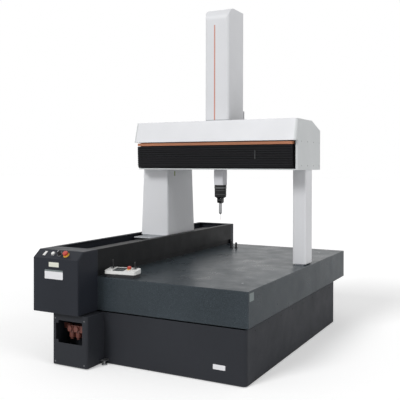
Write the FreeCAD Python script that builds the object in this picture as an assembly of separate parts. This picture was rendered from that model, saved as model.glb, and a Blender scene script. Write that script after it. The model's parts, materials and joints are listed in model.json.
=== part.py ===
import FreeCAD, Part
import math
import os

# Moving-bridge coordinate measuring machine.
# Millimetres. X points right, Y points to the rear, Z points up.
# The origin is on the floor, under the middle of the whole machine.

V = FreeCAD.Vector
UP = V(0, 0, 1)

# ---------------------------------------------------------------- driving dimensions

# granite table
TABLE_TOP = 645.0
TABLE_THICK = 250.0
TABLE_LEFT, TABLE_RIGHT = -790.0, 825.0
TABLE_FRONT, TABLE_REAR = -1095.0, 1255.0
TABLE_CHAMFER = 4.0

# threaded inserts in the table top
INSERT_CENTRE = (210.0, 80.0)
INSERT_SPAN = (900.0, 1800.0)
INSERT_R = 9.0
INSERT_THREAD_R = 3.4
INSERT_DEPTH = 25.0

# sheet-metal stand
STAND_LEFT, STAND_RIGHT = -760.0, 806.0
STAND_FRONT, STAND_REAR = -1087.0, 984.0
STAND_TOP = 384.0
STAND_FLOOR_GAP = 6.0
STAND_SHEET = 8.0
STAND_CORNER_R = 30.0
STAND_RETURN = 60.0
STAND_RIM = 40.0
STANDOFF_HALF = 25.0

# welded frame inside the stand
FRAME_INSET = 20.0
FRAME_POST = 80.0
FRAME_LOW = (60.0, 120.0)
FRAME_HIGH = (200.0, 280.0)
FRAME_WALL = 6.0
FRAME_POST_Y = (-1027.0, -560.0, 640.0, 924.0)
POST_PLATE = 8.0

# guide cover along the left side of the table
COVER_LEFT, COVER_RIGHT = -825.0, -405.0
COVER_FRONT, COVER_REAR = -1330.0, 1330.0
COVER_RIM = 850.0
COVER_SHEET = 6.0
SLOPE_Z = 795.0
SLOPE_DEPTH = 70.0

# Y guide rail on the table, under the cover
RAIL_X = -615.0
RAIL_HEAD = 100.0
RAIL_STEM = 70.0
RAIL_NECK_Z = 690.0
RAIL_TOP = 745.0
RAIL_FRONT, RAIL_REAR = -1080.0, 1245.0
SCALE_TAPE = 2.0

# friction bar of the Y drive, between two blocks on the table
DRIVE_X, DRIVE_Z, DRIVE_R = -780.0, 700.0, 9.0

# height of the air gap under every bearing pad
AIR_GAP = 0.5

# main leg foot, which runs on the rail
FOOT_FRONT, FOOT_REAR = 64.0, 580.0
FOOT_HALF = 140.0
FOOT_BASE = (752.0, 780.0)
TUNNEL_TOP = 812.0
PLATE_TOP = 826.0
PLATE_FRONT, PLATE_REAR = -60.0, 585.0
LEG_BASE_Z = 838.0

# dust band over the rail, through the tunnel of the foot
BAND_HALF = 115.0
BAND_Z = (800.0, 803.0)
BAND_FRONT = -1190.0

# bridge housing
HOUSING_LEFT, HOUSING_RIGHT = -738.5, 805.6
HOUSING_BOTTOM, HOUSING_TOP = 1444.6, 1866.4
HOUSING_FRONT, HOUSING_REAR = -58.6, 540.6
VISOR_Z, VISOR_Y = 1687.0, -109.0
ROOF_BACK_Y, ROOF_BACK_Z = 315.3, 1793.5
HOUSING_SHEET = 5.0
FLOOR_SHEET = 6.0
END_CAP = 21.0
END_RIM = 15.0
END_SKIN = 6.0
ROOF_SLOT = (5.0, 300.0)
FLOOR_SLOT = (0.0, 160.0)

# ribbed front grille and the accent stripe above it
GRILLE_RIGHT = 762.0
GRILLE_BACK = -18.0
GRILLE_SHEET = 6.0
GRILLE_TOP, GRILLE_BOTTOM = 1652.0, 1456.0
RIB_COUNT = 9
RIB_PITCH = 19.5
RIB_DEPTH = 8.0
GRILLE_CORNER_R = 34.0
STRIPE_Z = (1657.0, 1680.0)

# legs
LEG_BOTTOM = (-774.4, -480.8, 64.7, 580.3)
LEG_TOP = (-747.5, -480.8, 61.4, 535.1)
LEG_SHEET = 4.0
LEG_CORNER_R = 18.0
AUX_LEG = (680.4, 796.9, 166.0, 337.5)
AUX_LEG_BOTTOM = 664.0

# cross beam
BEAM_LEFT, BEAM_RIGHT = -725.0, 772.0
BEAM_FRONT, BEAM_REAR = 170.0, 340.0
BEAM_BOTTOM, BEAM_TOP = 1500.0, 1780.0
BEAM_WALL = 22.0

# spindle and its carriage
SPINDLE_X, SPINDLE_Y = 45.0, 80.0
SPINDLE_HALF = 43.5
SPINDLE_WALL = 12.0
SPINDLE_BOTTOM, SPINDLE_TOP = 1309.6, 2530.0
GUIDE_HALF = 49.0
GUIDE_BOTTOM, GUIDE_TOP = 1500.0, 2000.0

# column cover over the carriage
COLUMN = (-69.1, 163.7, -6.2, 318.0)
COLUMN_BASE, COLUMN_TOP = 1877.0, 2844.0
COLUMN_SHEET = 5.0
COLUMN_CORNER_R = 28.0
COLUMN_FRONT_R = 100.0
COLUMN_REAR_R = 25.0
COLUMN_STRIPE_X = 28.0
COLUMN_STRIPE_W = 12.0
COLUMN_STRIPE_TOP = 2698.0

# counterbalance cylinder beside the spindle
BALANCE_X, BALANCE_Y = 137.0, 80.0
BALANCE_R = 19.5
BALANCE_BORE = 16.0
BALANCE_Z = (1500.0, 2150.0)
PISTON_Z = (1868.0, 1884.0)
ROD_R = 6.0
FIT = 0.05

# probe head, from the spindle down
HEAD_FLANGE = (1292.0, 53.0)
HEAD_RING = (1279.0, 54.0)
HEAD_BODY_BOTTOM = 1206.0
HEAD_BODY_R = 52.0
HEAD_NOSE = (1194.0, 30.0)
PITCH_Z = 1171.5
KNUCKLE_R = 20.0
KNUCKLE_HALF = 14.0
LUG_T = 8.0
PROBE_R = 13.5
PROBE_BOTTOM = 1055.0
STYLUS_R = 1.0
BALL_R = 3.0
TIP_Z = 1006.0

# hand box on the table
PENDANT_CORNER = (-358.0, -1081.0)
PENDANT_TURN = 8.4
PENDANT_W, PENDANT_D = 255.0, 120.0

# air unit box in front of the stand
AIR_BOX = (-675.0, -354.0, -1287.0, -1087.0)
AIR_BOX_Z = (8.0, 384.0)
AIR_SHEET = 4.0
AIR_WINDOW = (-620.0, -399.0, 172.0, 337.0)
AIR_WINDOW_SIDE = (-644.0, 192.0, 316.0)

# ---------------------------------------------------------------- helpers


def box(x0, x1, y0, y1, z0, z1):
    return Part.makeBox(x1 - x0, y1 - y0, z1 - z0, V(x0, y0, z0))


def face_of(points):
    return Part.Face(Part.makePolygon(points + [points[0]]))


def prism_x(yz, x0, x1):
    return face_of([V(x0, y, z) for y, z in yz]).extrude(V(x1 - x0, 0, 0))


def prism_y(xz, y0, y1):
    return face_of([V(x, y0, z) for x, z in xz]).extrude(V(0, y1 - y0, 0))


def rounded_wire(x0, x1, y0, y1, radii, z):
    """Closed plan outline. radii: front-left, front-right, rear-right, rear-left."""
    r1, r2, r3, r4 = radii
    k = math.sqrt(0.5)
    corners = (
        (V(x0, y0 + r1, z), V(x0 + r1 - k * r1, y0 + r1 - k * r1, z), V(x0 + r1, y0, z), r1),
        (V(x1 - r2, y0, z), V(x1 - r2 + k * r2, y0 + r2 - k * r2, z), V(x1, y0 + r2, z), r2),
        (V(x1, y1 - r3, z), V(x1 - r3 + k * r3, y1 - r3 + k * r3, z), V(x1 - r3, y1, z), r3),
        (V(x0 + r4, y1, z), V(x0 + r4 - k * r4, y1 - r4 + k * r4, z), V(x0, y1 - r4, z), r4),
    )
    edges = []
    for i, (start, middle, end, r) in enumerate(corners):
        if r > 0:
            edges.append(Part.Arc(start, middle, end).toShape())
        edges.append(Part.LineSegment(end, corners[(i + 1) % 4][0]).toShape())
    return Part.Wire(edges)


def rounded_block(x0, x1, y0, y1, z0, z1, r):
    radii = r if isinstance(r, tuple) else (r, r, r, r)
    return Part.Face(rounded_wire(x0, x1, y0, y1, radii, z0)).extrude(V(0, 0, z1 - z0))


def cylinder(r, x, y, z0, z1):
    return Part.makeCylinder(r, z1 - z0, V(x, y, z0), UP)


def polygon_prism(sides, r, x, y, z0, z1):
    """Upright prism over a regular polygon whose corners lie at radius r."""
    step = 2 * math.pi / sides
    angles = [(i + 0.5) * step for i in range(sides)]
    corners = [V(x + r * math.cos(a), y + r * math.sin(a), z0) for a in angles]
    return face_of(corners).extrude(V(0, 0, z1 - z0))


def turned(rz, x, y):
    """Solid of revolution about a vertical axis, from (radius, height) pairs."""
    points = [V(x + r, y, z) for r, z in rz]
    return face_of(points).revolve(V(x, y, 0), UP, 360)


def shell_block(x0, x1, y0, y1, z0, z1, r, wall):
    outer = rounded_block(x0, x1, y0, y1, z0, z1, r)
    inner_r = tuple(max(v - wall, 0.0) for v in r)
    return outer.cut(rounded_block(x0 + wall, x1 - wall, y0 + wall, y1 - wall, z0, z1, inner_r))


def tube(x0, x1, y0, y1, z0, z1, axis):
    """Square steel tube of the frame, open along the given axis."""
    w = FRAME_WALL
    grow = {"x": (0, w, w), "y": (w, 0, w), "z": (w, w, 0)}[axis]
    inner = box(x0 + grow[0], x1 - grow[0], y0 + grow[1], y1 - grow[1], z0 + grow[2], z1 - grow[2])
    return box(x0, x1, y0, y1, z0, z1).cut(inner)


def round_edges(shape, radius, wanted):
    edges = [e for e in shape.Edges if wanted(e)]
    return shape.makeFillet(radius, edges)


def group(solids):
    return Part.makeCompound(solids)


def placed(shape, x, y, turn):
    moved = shape.copy()
    moved.rotate(V(0, 0, 0), UP, turn)
    moved.translate(V(x, y, 0))
    return moved


parts = {}

# ---------------------------------------------------------------- stand

frame_x0, frame_x1 = STAND_LEFT + FRAME_INSET, STAND_RIGHT - FRAME_INSET
half_post = FRAME_POST / 2


def stand_frame():
    """Welded square tubes; a plate closes the foot of each post."""
    tubes = []
    left = (frame_x0, frame_x0 + FRAME_POST)
    right = (frame_x1 - FRAME_POST, frame_x1)
    for x0, x1 in (left, right):
        for y in FRAME_POST_Y:
            post = tube(x0, x1, y - half_post, y + half_post, FRAME_LOW[0], FRAME_HIGH[1], "z")
            z0 = FRAME_LOW[0] - POST_PLATE
            tubes.append(post.fuse(box(x0, x1, y - half_post, y + half_post, z0, FRAME_LOW[0])))
        for front, rear in zip(FRAME_POST_Y, FRAME_POST_Y[1:]):
            for z0, z1 in (FRAME_LOW, FRAME_HIGH):
                tubes.append(tube(x0, x1, front + half_post, rear - half_post, z0, z1, "y"))
    for y in FRAME_POST_Y:
        for z0, z1 in (FRAME_LOW, FRAME_HIGH):
            tubes.append(tube(left[1], right[0], y - half_post, y + half_post, z0, z1, "x"))
    return group(tubes)


def stand_ring():
    corner = (STAND_CORNER_R,) * 4
    x0, x1, y0, y1 = STAND_LEFT, STAND_RIGHT, STAND_FRONT, STAND_REAR
    walls = shell_block(x0, x1, y0, y1, STAND_FLOOR_GAP, STAND_TOP - STAND_SHEET, corner, STAND_SHEET)
    rim = shell_block(x0, x1, y0, y1, STAND_TOP - STAND_SHEET, STAND_TOP, corner, STAND_RIM)
    return walls.fuse(rim)


def stand_panels():
    """Three sheet panels on standoffs that carry them on the posts of the frame."""
    ring = stand_ring()
    far = 5000.0
    front_cut = STAND_FRONT + STAND_RETURN
    rear_cut = STAND_REAR - STAND_RETURN
    front = ring.common(box(-far, far, -far, front_cut, 0, STAND_TOP + 1))
    rear = ring.common(box(-far, far, rear_cut, far, 0, STAND_TOP + 1))
    sides = ring.common(box(-far, far, front_cut, rear_cut, 0, STAND_TOP + 1))
    z0, z1 = FRAME_HIGH
    for x in (frame_x0 + half_post, frame_x1 - half_post):
        span = (x - STANDOFF_HALF, x + STANDOFF_HALF)
        front = front.fuse(box(*span, STAND_FRONT + STAND_SHEET, FRAME_POST_Y[0] - half_post, z0, z1))
        rear = rear.fuse(box(*span, FRAME_POST_Y[3] + half_post, STAND_REAR - STAND_SHEET, z0, z1))
    for y in FRAME_POST_Y[1:3]:
        span = (y - STANDOFF_HALF, y + STANDOFF_HALF)
        sides = sides.fuse(box(STAND_LEFT + STAND_SHEET, frame_x0, *span, z0, z1))
        sides = sides.fuse(box(frame_x1, STAND_RIGHT - STAND_SHEET, *span, z0, z1))
    parts["stand_front_panel"] = front
    parts["stand_rear_panel"] = rear
    parts["stand_side_panels"] = group(sides.Solids)


def levelling_foot(x, y, pad_r, pad_t, stud_r, height):
    """Eight-sided pad with a hexagon stud."""
    pad = polygon_prism(8, pad_r, x, y, 0, pad_t)
    return pad.fuse(polygon_prism(6, stud_r, x, y, pad_t, height))


def levelling_feet():
    feet = []
    for x in (frame_x0 + half_post, frame_x1 - half_post):
        for y in FRAME_POST_Y:
            feet.append(levelling_foot(x, y, 42, 12, 14, FRAME_LOW[0] - POST_PLATE))
    # jack foot beside the air unit box, on a lug of the front panel
    jack_x, jack_y = AIR_BOX[1] + 26, STAND_FRONT - 26
    jack = levelling_foot(jack_x, jack_y, 22, 10, 10, 30)
    lug = box(jack_x - 22, jack_x + 22, STAND_FRONT - 48, STAND_FRONT, 30, 38)
    return group(feet + [jack.fuse(lug)])


def isolators():
    top = TABLE_TOP - TABLE_THICK
    z = FRAME_HIGH[1]
    spots = [(x, y) for x in (-656.0, 702.0) for y in FRAME_POST_Y[1:3]]
    mounts = []
    for x, y in spots:
        drum = polygon_prism(16, 60, x, y, z, z + 90)
        mounts.append(drum.fuse(polygon_prism(16, 42, x, y, z + 90, top)))
    return group(mounts)


parts["stand_frame"] = stand_frame()
stand_panels()
parts["levelling_feet"] = levelling_feet()
parts["isolators"] = isolators()

# ---------------------------------------------------------------- table and guide rail

insert_spots = []
for side_x in (-0.5, 0.5):
    for side_y in (-0.5, 0.5):
        x = INSERT_CENTRE[0] + side_x * INSERT_SPAN[0]
        insert_spots.append((x, INSERT_CENTRE[1] + side_y * INSERT_SPAN[1]))


def granite_table():
    slab = box(TABLE_LEFT, TABLE_RIGHT, TABLE_FRONT, TABLE_REAR, TABLE_TOP - TABLE_THICK, TABLE_TOP)
    slab = slab.makeChamfer(TABLE_CHAMFER, slab.Edges)
    for x, y in insert_spots:
        slab = slab.cut(polygon_prism(8, INSERT_R, x, y, TABLE_TOP - INSERT_DEPTH, TABLE_TOP + 1))
    return slab


def table_inserts():
    bushes = []
    for x, y in insert_spots:
        bush = polygon_prism(8, INSERT_R, x, y, TABLE_TOP - INSERT_DEPTH, TABLE_TOP)
        bushes.append(bush.cut(cylinder(INSERT_THREAD_R, x, y, TABLE_TOP - INSERT_DEPTH, TABLE_TOP)))
    return group(bushes)


def y_guide_rail():
    half, stem, cx = RAIL_HEAD, RAIL_STEM, RAIL_X
    profile = [
        (cx - stem, TABLE_TOP), (cx + stem, TABLE_TOP), (cx + stem, RAIL_NECK_Z),
        (cx + half, RAIL_NECK_Z), (cx + half, RAIL_TOP), (cx - half, RAIL_TOP),
        (cx - half, RAIL_NECK_Z), (cx - stem, RAIL_NECK_Z),
    ]
    rail = prism_y(profile, RAIL_FRONT, RAIL_REAR)
    tape = box(cx - 10, cx + 10, RAIL_FRONT + 20, RAIL_REAR - 20, RAIL_TOP, RAIL_TOP + SCALE_TAPE)
    return rail.fuse(tape)


parts["granite_table"] = granite_table()
parts["table_inserts"] = table_inserts()
parts["y_guide_rail"] = y_guide_rail()
parts["y_dust_band"] = box(
    RAIL_X - BAND_HALF, RAIL_X + BAND_HALF, BAND_FRONT, COVER_REAR - 8, BAND_Z[0], BAND_Z[1]
)



def y_drive_bar():
    bar = Part.makeCylinder(DRIVE_R, RAIL_REAR - RAIL_FRONT, V(DRIVE_X, RAIL_FRONT, DRIVE_Z), V(0, 1, 0))
    shape = bar
    for y0 in (RAIL_FRONT, RAIL_REAR - 20):
        shape = shape.fuse(box(DRIVE_X - 9, DRIVE_X + 9, y0, y0 + 20, TABLE_TOP, DRIVE_Z + 14))
    return shape


parts["y_drive_bar"] = y_drive_bar()

# ---------------------------------------------------------------- guide cover

slope_back = COVER_FRONT + SLOPE_DEPTH
slope_angle = math.atan2(COVER_RIM - SLOPE_Z, SLOPE_DEPTH)
SLOPE_NORMAL = V(0, -math.sin(slope_angle), math.cos(slope_angle))
SLOPE_ALONG = V(0, math.cos(slope_angle), math.sin(slope_angle))


def slope_point(x, along=0.0, out=0.0):
    """Point on the control slope: along runs up the slope from its middle."""
    middle = V(x, COVER_FRONT + SLOPE_DEPTH / 2, (SLOPE_Z + COVER_RIM) / 2)
    return middle + SLOPE_ALONG * along + SLOPE_NORMAL * out


def slope_cylinder(r, x, bottom, top):
    return Part.makeCylinder(r, top - bottom, slope_point(x, 0, bottom), SLOPE_NORMAL)


def on_slope(shape, x):
    """Put a shape modelled about the origin onto the control slope."""
    moved = shape.copy()
    moved.rotate(V(0, 0, 0), V(1, 0, 0), math.degrees(slope_angle))
    moved.translate(slope_point(x))
    return moved


def stemmed(rh, stem_r, depth):
    """Solid of revolution from (radius, height) pairs, on a six-sided stem that goes down by depth."""
    head = face_of([V(r, 0, h) for r, h in rh]).revolve(V(0, 0, 0), UP, 360)
    return head.fuse(polygon_prism(6, stem_r, 0, 0, -depth, rh[0][1]))


ESTOP_X, KNOB_X, BUTTON_X, ROCKER_X = -538.0, -599.0, -659.0, -736.0
ROCKER_W, ROCKER_L, ROCKER_PIN_R = 22.0, 50.0, 1.8
cap_bottom = TABLE_TOP - TABLE_THICK


def cap_profile(t):
    """Side outline of the front cap, moved inwards by t."""
    front, back = COVER_FRONT + t, TABLE_FRONT - t
    return [
        (front, cap_bottom + t), (back, cap_bottom + t), (back, COVER_RIM - t),
        (slope_back + t * math.tan(slope_angle / 2), COVER_RIM - t),
        (front, SLOPE_Z - t * math.tan(math.pi / 4 - slope_angle / 2)),
    ]


def on_cap_rim(edge):
    """Outer edges of the cap that are rounded: the two sides and the front lip."""
    b = edge.BoundBox
    on_side = b.XLength < 0.1 and (abs(b.XMin - COVER_LEFT) < 0.1 or abs(b.XMin - COVER_RIGHT) < 0.1)
    touches_table = b.YMax > TABLE_FRONT - 0.1 and b.YLength < 0.1
    return on_side and not touches_table and b.ZMax > cap_bottom + 0.1


def rocker_pin(grow, reach):
    """Pivot pin of the rocker, or its bore when grown by the running fit."""
    half = ROCKER_W / 2 + reach
    return Part.makeCylinder(ROCKER_PIN_R + grow, 2 * half, V(-half, 0, -COVER_SHEET / 2), V(1, 0, 0))


def guide_front_cap():
    outer = prism_x(cap_profile(0.0), COVER_LEFT, COVER_RIGHT)
    outer = round_edges(outer, 10.0, on_cap_rim)
    inner = prism_x(cap_profile(COVER_SHEET), COVER_LEFT + COVER_SHEET, COVER_RIGHT - COVER_SHEET)
    cap = outer.cut(inner)
    # the foot's plate runs in through the back, under the band's hanger
    roof = COVER_RIM - COVER_SHEET
    cap = cap.cut(box(-780, COVER_RIGHT - 40, TABLE_FRONT - 2 * COVER_SHEET, TABLE_FRONT + 1, 655, roof))
    hanger = box(RAIL_X - BAND_HALF, RAIL_X + BAND_HALF, BAND_FRONT, BAND_FRONT + 18, BAND_Z[1], roof)
    cap = cap.fuse(hanger)
    for x, r in ((ESTOP_X, 11.0), (KNOB_X, 8.0), (BUTTON_X, 11.0)):
        cap = cap.cut(slope_cylinder(r, x, -3 * COVER_SHEET, 3 * COVER_SHEET))
    slot = box(-ROCKER_W / 2, ROCKER_W / 2, -ROCKER_L / 2, ROCKER_L / 2, -20, 20)
    return cap.cut(on_slope(slot.fuse(rocker_pin(FIT, 3.5)), ROCKER_X))


def guide_inner_wall():
    x = COVER_RIGHT
    profile = [
        (x, COVER_RIM), (x, 692), (x - 20, 692), (x - 20, TABLE_TOP), (x - 30, TABLE_TOP),
        (x - 30, 702), (x - 8, 702), (x - 8, COVER_RIM - 8), (x - 45, COVER_RIM - 8), (x - 45, COVER_RIM),
    ]
    wall = prism_y(profile, TABLE_FRONT, TABLE_REAR)
    return round_edges(
        wall, 4.0,
        lambda e: e.BoundBox.YLength > 1000 and abs(e.BoundBox.XMax - x) < 0.1
        and abs(e.BoundBox.ZMax - COVER_RIM) < 0.1,
    )


def guide_outer_wall():
    x = COVER_LEFT
    gap = TABLE_LEFT
    profile = [
        (x, cap_bottom), (x + 8, cap_bottom), (x + 8, 480), (gap, 480), (gap, 500), (x + 8, 500),
        (x + 8, 600), (gap, 600), (gap, 620), (x + 8, 620), (x + 8, COVER_RIM - 8),
        (x + 34, COVER_RIM - 8), (x + 34, COVER_RIM), (x, COVER_RIM),
    ]
    wall = prism_y(profile, TABLE_FRONT, TABLE_REAR)
    return round_edges(
        wall, 4.0,
        lambda e: e.BoundBox.YLength > 1000 and abs(e.BoundBox.XMin - x) < 0.1
        and abs(e.BoundBox.ZMax - COVER_RIM) < 0.1,
    )


def guide_rear_end():
    outer = rounded_block(
        COVER_LEFT, COVER_RIGHT, TABLE_REAR, COVER_REAR, cap_bottom, COVER_RIM, (0, 0, 12.0, 12.0)
    )
    hollow = box(COVER_LEFT + 8, COVER_RIGHT - 8, TABLE_REAR, COVER_REAR - 8, cap_bottom + 8, COVER_RIM - 8)
    mouth = box(COVER_LEFT + 34, COVER_RIGHT - 45, TABLE_REAR, COVER_REAR - 30, COVER_RIM - 9, COVER_RIM + 1)
    ledge = box(
        RAIL_X - BAND_HALF, RAIL_X + BAND_HALF, COVER_REAR - 30, COVER_REAR - 8, BAND_Z[0] - 10, BAND_Z[0]
    )
    return outer.cut(hollow).cut(mouth).fuse(ledge)


parts["guide_front_cap"] = guide_front_cap()
parts["guide_inner_wall"] = guide_inner_wall()
parts["guide_outer_wall"] = guide_outer_wall()
parts["guide_rear_end"] = guide_rear_end()

# ---------------------------------------------------------------- controls on the cap

collar = face_of([V(11, 0, 0), V(24, 0, 0), V(22, 0, 6), V(11, 0, 6)]).revolve(V(0, 0, 0), UP, 360)
parts["estop_collar"] = on_slope(collar, ESTOP_X)
parts["panel_estop"] = on_slope(stemmed([(0, 12), (20, 12), (20, 24), (14, 30), (0, 30)], 10.5, 16), ESTOP_X)
parts["power_button"] = on_slope(stemmed([(0, 4), (13.5, 4), (13.5, 12), (0, 12)], 10.5, 16), BUTTON_X)


def selector_knob():
    knob = stemmed([(0, 1), (14, 1), (12, 20), (0, 20)], 7.5, 16)
    return on_slope(knob.fuse(box(-4, 4, -11, 11, 18, 34)), KNOB_X)


def power_rocker():
    half = ROCKER_L / 2 - 3
    profile = [(-half, 2), (-half, 6), (0, 3.5), (half, 2.2), (half, -1), (6, -10), (-6, -10)]
    rocker = prism_x(profile, -ROCKER_W / 2 + 0.5, ROCKER_W / 2 - 0.5)
    return on_slope(rocker.fuse(rocker_pin(0, 2.5)), ROCKER_X)


parts["selector_knob"] = selector_knob()
parts["power_rocker"] = power_rocker()

# ---------------------------------------------------------------- air unit


def air_unit_box():
    x0, x1, y0, y1 = AIR_BOX
    z0, z1 = AIR_BOX_Z
    t = AIR_SHEET
    outer = rounded_block(x0, x1, y0, y1, z0, z1, (18.0, 18.0, 0, 0))
    inner = rounded_block(x0 + t, x1 - t, y0 + t, y1, z0 + t, z1 - t, (14.0, 14.0, 0, 0))
    shell = outer.cut(inner)
    wx0, wx1, wz0, wz1 = AIR_WINDOW
    side_x, side_z0, side_z1 = AIR_WINDOW_SIDE
    shell = shell.cut(box(wx0, wx1, y0 - 1, y0 + t + 1, wz0, wz1))
    return shell.cut(box(side_x, wx0 + 1, y0 - 1, y0 + t + 1, side_z0, side_z1))


def air_filters():
    """Service unit: two filters and a regulator on a rail across the box."""
    x0, x1 = AIR_BOX[0] + AIR_SHEET, AIR_BOX[1] - AIR_SHEET
    y = AIR_BOX[2] + 105
    rail = box(x0, x1, y + 26, y + 32, 245, 285)
    units = [rail]
    for i, x in enumerate((-570.0, -512.0, -454.0)):
        body = box(x - 26, x + 26, y - 26, y + 26, 238, 288)
        bowl = polygon_prism(16, 23, x, y, 196, 238).fuse(polygon_prism(16, 14, x, y, 182, 196))
        front = Part.makeCylinder(19, 12, V(x, y - 38, 264), V(0, 1, 0))
        units.append(body.fuse([bowl, polygon_prism(8, 20, x, y, 288, 318) if i == 2 else front]))
    for x in (-541.0, -483.0):
        units.append(box(x - 3, x + 3, y - 14, y + 14, 250, 276))
    return group(units)


parts["air_unit_box"] = air_unit_box()
parts["air_filters"] = air_filters()


def sensor_posts():
    posts = []
    for x, y, r, top in ((-233.0, 906.0, 15.0, 74.0), (-192.0, 930.0, 12.0, 56.0)):
        post = polygon_prism(8, r - 2, 0, 0, 0, top).fuse(box(-r, r, -r, r, 0, 5))
        post.translate(V(x, y, TABLE_TOP))
        posts.append(post)
    return group(posts)


parts["sensor_posts"] = sensor_posts()

# ---------------------------------------------------------------- main leg


def main_leg_foot():
    cx, half = RAIL_X, FOOT_HALF
    hook_in = RAIL_STEM + 9
    arm = RAIL_HEAD + 7
    low, hook_top = 655.0, 683.0
    outer = [
        (cx - half, low), (cx - hook_in, low), (cx - hook_in, hook_top), (cx - arm, hook_top),
        (cx - arm, FOOT_BASE[0]), (cx + arm, FOOT_BASE[0]), (cx + arm, hook_top),
        (cx + hook_in, hook_top), (cx + hook_in, low), (cx + half, low), (cx + half, TUNNEL_TOP),
        (cx - half, TUNNEL_TOP),
    ]
    foot = prism_y(outer, FOOT_FRONT, FOOT_REAR)
    inner = half - 20
    tunnel = box(cx - inner, cx + inner, FOOT_FRONT - 1, FOOT_REAR + 1, FOOT_BASE[1], TUNNEL_TOP + 1)
    foot = foot.cut(tunnel)
    plate = box(-770, -455, PLATE_FRONT, PLATE_REAR, TUNNEL_TOP, PLATE_TOP)

    def front_edge(edge):
        b = edge.BoundBox
        return abs(b.YMax - PLATE_FRONT) < 0.1 and b.XLength > 100

    plate = round_edges(plate, 5.0, front_edge)
    foot = foot.fuse(plate)
    boss = box(DRIVE_X - 20, cx - half, 260, 380, 672, 728)
    bore = Part.makeCylinder(DRIVE_R + 2, 200, V(DRIVE_X, 220, DRIVE_Z), V(0, 1, 0))
    return foot.fuse(boss).cut(bore)


def foot_bearing_pads():
    pads = []
    top = RAIL_TOP + AIR_GAP
    for y in (FOOT_FRONT + 70, FOOT_REAR - 70):
        for side in (-1, 1):
            x = RAIL_X + side * 58
            pads.append(box(x - 30, x + 30, y - 50, y + 50, top, FOOT_BASE[0]))
            inner, outer = RAIL_HEAD + AIR_GAP, RAIL_HEAD + 7
            xs = sorted((RAIL_X + side * inner, RAIL_X + side * outer))
            pads.append(box(xs[0], xs[1], y - 40, y + 40, RAIL_NECK_Z + 8, RAIL_TOP - 8))
            xs = sorted((RAIL_X + side * (RAIL_STEM + 11), RAIL_X + side * (RAIL_HEAD - 2)))
            pads.append(box(xs[0], xs[1], y - 40, y + 40, 683.0, RAIL_NECK_Z - AIR_GAP))
    return group(pads)


def frustum(bottom, top, z0, z1, inset=0.0):
    """Tapered block between two rectangles, each (x0, x1, y0, y1), moved inwards by inset."""
    rings = []
    for (x0, x1, y0, y1), z in ((bottom, z0), (top, z1)):
        x0, x1, y0, y1 = x0 + inset, x1 - inset, y0 + inset, y1 - inset
        rings.append([V(x0, y0, z), V(x1, y0, z), V(x1, y1, z), V(x0, y1, z)])
    low, high = rings
    faces = [face_of(low[::-1]), face_of(high)]
    for i in range(4):
        k = (i + 1) % 4
        faces.append(face_of([low[i], low[k], high[k], high[i]]))
    return Part.makeSolid(Part.makeShell(faces))


def main_leg_cover():
    outer = frustum(LEG_BOTTOM, LEG_TOP, LEG_BASE_Z, HOUSING_BOTTOM)
    outer = round_edges(outer, LEG_CORNER_R, lambda e: e.BoundBox.ZLength > 500)
    return outer.cut(frustum(LEG_BOTTOM, LEG_TOP, LEG_BASE_Z, HOUSING_BOTTOM, LEG_SHEET + 4))


def main_leg_column():
    bottom = (-745.0, -500.0, 100.0, 540.0)
    top = (-725.0, -508.0, 120.0, 420.0)
    column = frustum(bottom, top, LEG_BASE_Z, BEAM_BOTTOM)
    column = column.cut(frustum(bottom, top, LEG_BASE_Z, BEAM_BOTTOM, 18.0))
    flange = rounded_block(-772.0, -483.2, 67.0, 578.0, PLATE_TOP, LEG_BASE_Z, 16.0)
    hole = box(-727.0, -518.0, 118.0, 522.0, PLATE_TOP, LEG_BASE_Z)
    return column.fuse(flange.cut(hole))


parts["main_leg_foot"] = main_leg_foot()
parts["foot_bearing_pads"] = foot_bearing_pads()
parts["main_leg_column"] = main_leg_column()
parts["main_leg_cover"] = main_leg_cover()

# ---------------------------------------------------------------- auxiliary leg and beam

ax0, ax1, ay0, ay1 = AUX_LEG


def aux_leg():
    leg = shell_block(ax0, ax1, ay0, ay1, AUX_LEG_BOTTOM, BEAM_BOTTOM, (12.0,) * 4, 8.0)
    sole = rounded_block(ax0, ax1, ay0, ay1, AUX_LEG_BOTTOM - 10, AUX_LEG_BOTTOM, 12.0)
    return leg.fuse(sole)


def aux_leg_pad():
    cx, cy = (ax0 + ax1) / 2, (ay0 + ay1) / 2
    pads = []
    for y in (cy - 42, cy + 42):
        pads.append(box(cx - 38, cx + 38, y - 38, y + 38, TABLE_TOP + AIR_GAP, AUX_LEG_BOTTOM - 10))
    return group(pads)


def x_beam():
    outer = box(BEAM_LEFT, BEAM_RIGHT, BEAM_FRONT, BEAM_REAR, BEAM_BOTTOM, BEAM_TOP)
    w = BEAM_WALL
    inner = box(BEAM_LEFT, BEAM_RIGHT, BEAM_FRONT + w, BEAM_REAR - w, BEAM_BOTTOM + w, BEAM_TOP - w)
    tape = box(BEAM_LEFT + 60, BEAM_RIGHT - 60, BEAM_REAR, BEAM_REAR + SCALE_TAPE, 1702, 1716)
    return outer.cut(inner).fuse(tape)


parts["aux_leg"] = aux_leg()
parts["aux_leg_pad"] = aux_leg_pad()
parts["x_beam"] = x_beam()

# ---------------------------------------------------------------- bridge housing

inner_x0, inner_x1 = HOUSING_LEFT + END_CAP, HOUSING_RIGHT - END_CAP


def housing_outline(lower_front):
    return [
        (lower_front, HOUSING_BOTTOM), (HOUSING_REAR, HOUSING_BOTTOM), (HOUSING_REAR, ROOF_BACK_Z),
        (ROOF_BACK_Y, HOUSING_TOP), (HOUSING_FRONT, HOUSING_TOP), (VISOR_Y, VISOR_Z),
        (lower_front, VISOR_Z),
    ]


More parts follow.
